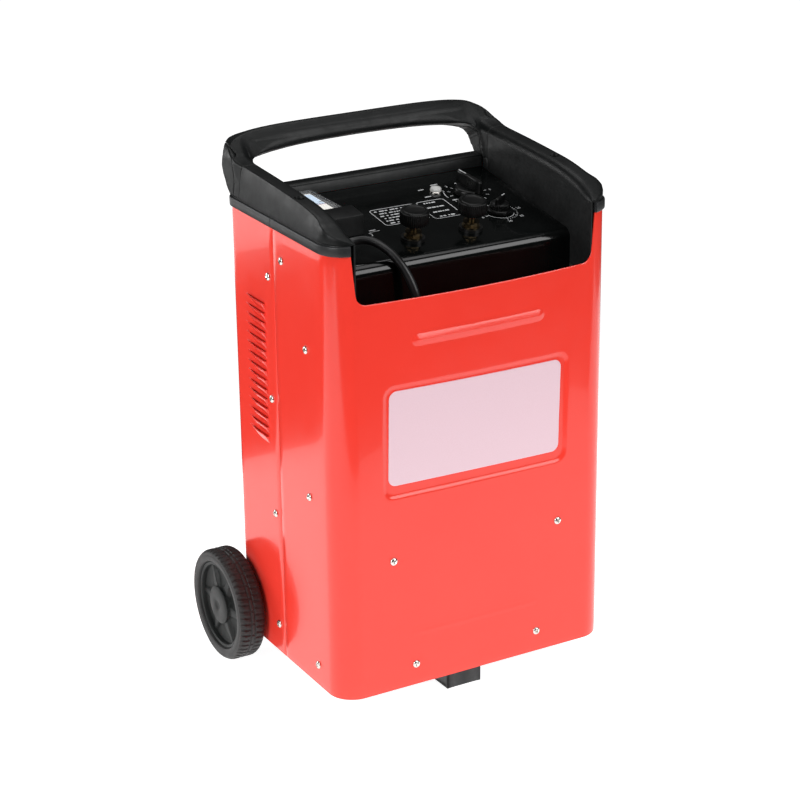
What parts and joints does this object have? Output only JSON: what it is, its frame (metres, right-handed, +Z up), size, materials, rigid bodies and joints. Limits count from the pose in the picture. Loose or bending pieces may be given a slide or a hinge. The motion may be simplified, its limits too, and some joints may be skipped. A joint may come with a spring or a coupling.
{
  "type": "car battery charger",
  "caption": "Wheeled car battery charger: red sheet-steel cabinet with a sloped control panel, front cable pocket, moulded carry handle, rear wheels and a front foot.",
  "frame": {"origin": "on the ground under the centre of the whole machine's bounding box, without its lead", "axes": "+Z up, the front face with the cable pocket faces -Y, +X to the right of someone facing the front; +X is the axle's direction"},
  "size_m": [0.4, 0.2956, 0.588],
  "materials": {
    "red_paint": "gloss",
    "plate_silver": "satin print",
    "black_steel": "satin",
    "zinc_steel": "zinc plated",
    "panel_gloss": "high gloss",
    "black_trim": "semi gloss",
    "black_moulding": "fine spark texture",
    "tyre_rubber": "matte",
    "hub_plastic": "matte",
    "knob_plastic": "satin",
    "clear_plastic": "clear",
    "scale_white": "matte print",
    "lamp_lens": "clear ribbed",
    "bakelite": "matte",
    "nickel": "nickel plated",
    "brass": "machined",
    "cable_sheath": "semi gloss sheath",
    "clamp_copper": "copper plated",
    "grip_vinyl": "dipped vinyl",
    "core_steel": "varnished laminations",
    "copper": "enamelled wire",
    "aluminium": "mill"
  },
  "bodies": {
    "cabinet": {"front_shell": "red_paint", "rear_shell": "red_paint", "name_plate": "plate_silver", "base_tray": "black_steel", "front_foot": "black_steel", "corner_rails": "zinc_steel", "pocket_liner": "black_steel", "control_panel": "panel_gloss", "front_rim": "black_trim", "rear_rim": "black_trim", "left_cheek": "black_moulding", "right_cheek": "black_moulding", "handle_front_half": "black_moulding", "handle_rear_half": "black_moulding", "rear_rail": "black_moulding", "axle": "zinc_steel", "axle_brackets": "black_steel", "axle_spacers": "zinc_steel", "ammeter_body": "knob_plastic", "ammeter_cover": "clear_plastic", "ammeter_scale": "scale_white", "ammeter_movement": "zinc_steel", "pilot_lamp_body": "knob_plastic", "pilot_lamp_lens": "lamp_lens", "selector_switch": "bakelite", "timer_body": "zinc_steel", "terminal_studs": "brass", "terminal_collars": "knob_plastic", "terminal_nuts": "brass", "lead_glands": "black_moulding", "charging_lead": "cable_sheath", "lead_coil": "cable_sheath", "clamp_lower_arm": "clamp_copper", "clamp_grips": "grip_vinyl", "clamp_pin_and_spring": "zinc_steel", "transformer_core": "core_steel", "primary_winding": "copper", "secondary_winding": "copper", "transformer_brackets": "zinc_steel", "rectifier_plates": "aluminium", "rectifier_diodes": "zinc_steel", "strip_fuse": "bakelite", "internal_wiring": "cable_sheath", "case_screws": "nickel", "inner_bolts": "zinc_steel"},
    "left_wheel": {"left_tyre": "tyre_rubber", "left_hub": "hub_plastic", "left_hub_cap": "hub_plastic"},
    "right_wheel": {"right_tyre": "tyre_rubber", "right_hub": "hub_plastic", "right_hub_cap": "hub_plastic"},
    "selector": {"selector_knob": "knob_plastic"},
    "timer": {"timer_knob": "knob_plastic"},
    "needle": {"ammeter_needle": "knob_plastic"},
    "left_terminal_slide": {"left_terminal_washer": "nickel"},
    "left_terminal": {"left_terminal_knob": "knob_plastic"},
    "right_terminal_slide": {"right_terminal_washer": "nickel"},
    "right_terminal": {"right_terminal_knob": "knob_plastic"},
    "clamp_jaw": {"clamp_upper_arm": "clamp_copper", "clamp_upper_grip": "grip_vinyl"}
  },
  "joints": [
    {"name": "left_wheel_spin", "type": "hinge", "parent": "cabinet", "child": "left_wheel", "pos_m": [-0.185, 0.08525, 0.0625], "axis": [1, 0, 0], "continuous": true},
    {"name": "right_wheel_spin", "type": "hinge", "parent": "cabinet", "child": "right_wheel", "pos_m": [0.185, 0.08525, 0.0625], "axis": [1, 0, 0], "continuous": true},
    {"name": "selector_turn", "type": "hinge", "parent": "cabinet", "child": "selector", "pos_m": [0.0855, 0.01865, 0.5078], "axis": [0, -0.1495, 0.9888], "range_deg": [-150, 120]},
    {"name": "timer_turn", "type": "hinge", "parent": "cabinet", "child": "timer", "pos_m": [0.091, -0.03535, 0.49964], "axis": [0, -0.1495, 0.9888], "range_deg": [-300, 0]},
    {"name": "needle_swing", "type": "hinge", "parent": "cabinet", "child": "needle", "pos_m": [-0.1065, -0.00835, 0.50372], "axis": [0, -0.1495, 0.9888], "range_deg": [-66, 0], "stiffness_Nm_per_rad": 0.0004},
    {"name": "left_terminal_lift", "type": "slide", "parent": "cabinet", "child": "left_terminal_slide", "axis": [0, -0.1495, 0.9888], "range_m": [-0.005, 0.006]},
    {"name": "left_terminal_turn", "type": "hinge", "parent": "left_terminal_slide", "child": "left_terminal", "pos_m": [-0.0286, -0.06075, 0.49579], "axis": [0, -0.1495, 0.9888], "range_deg": [-1441, 1729]},
    {"name": "right_terminal_lift", "type": "slide", "parent": "cabinet", "child": "right_terminal_slide", "axis": [0, -0.1495, 0.9888], "range_m": [-0.005, 0.006]},
    {"name": "right_terminal_turn", "type": "hinge", "parent": "right_terminal_slide", "child": "right_terminal", "pos_m": [0.0403, -0.06075, 0.49579], "axis": [0, -0.1495, 0.9888], "range_deg": [-1441, 1729]},
    {"name": "clamp_open", "type": "hinge", "parent": "cabinet", "child": "clamp_jaw", "pos_m": [0.078, -0.11635, 0.2159], "axis": [0, -1, 0], "range_deg": [0, 30], "stiffness_Nm_per_rad": 1.2, "springref_deg": -20.05}
  ],
  "couplings": [
    {"joint": "left_terminal_turn", "follows": "left_terminal_lift", "rad_per_m": 5026.5},
    {"joint": "right_terminal_turn", "follows": "right_terminal_lift", "rad_per_m": 5026.5}
  ]
}
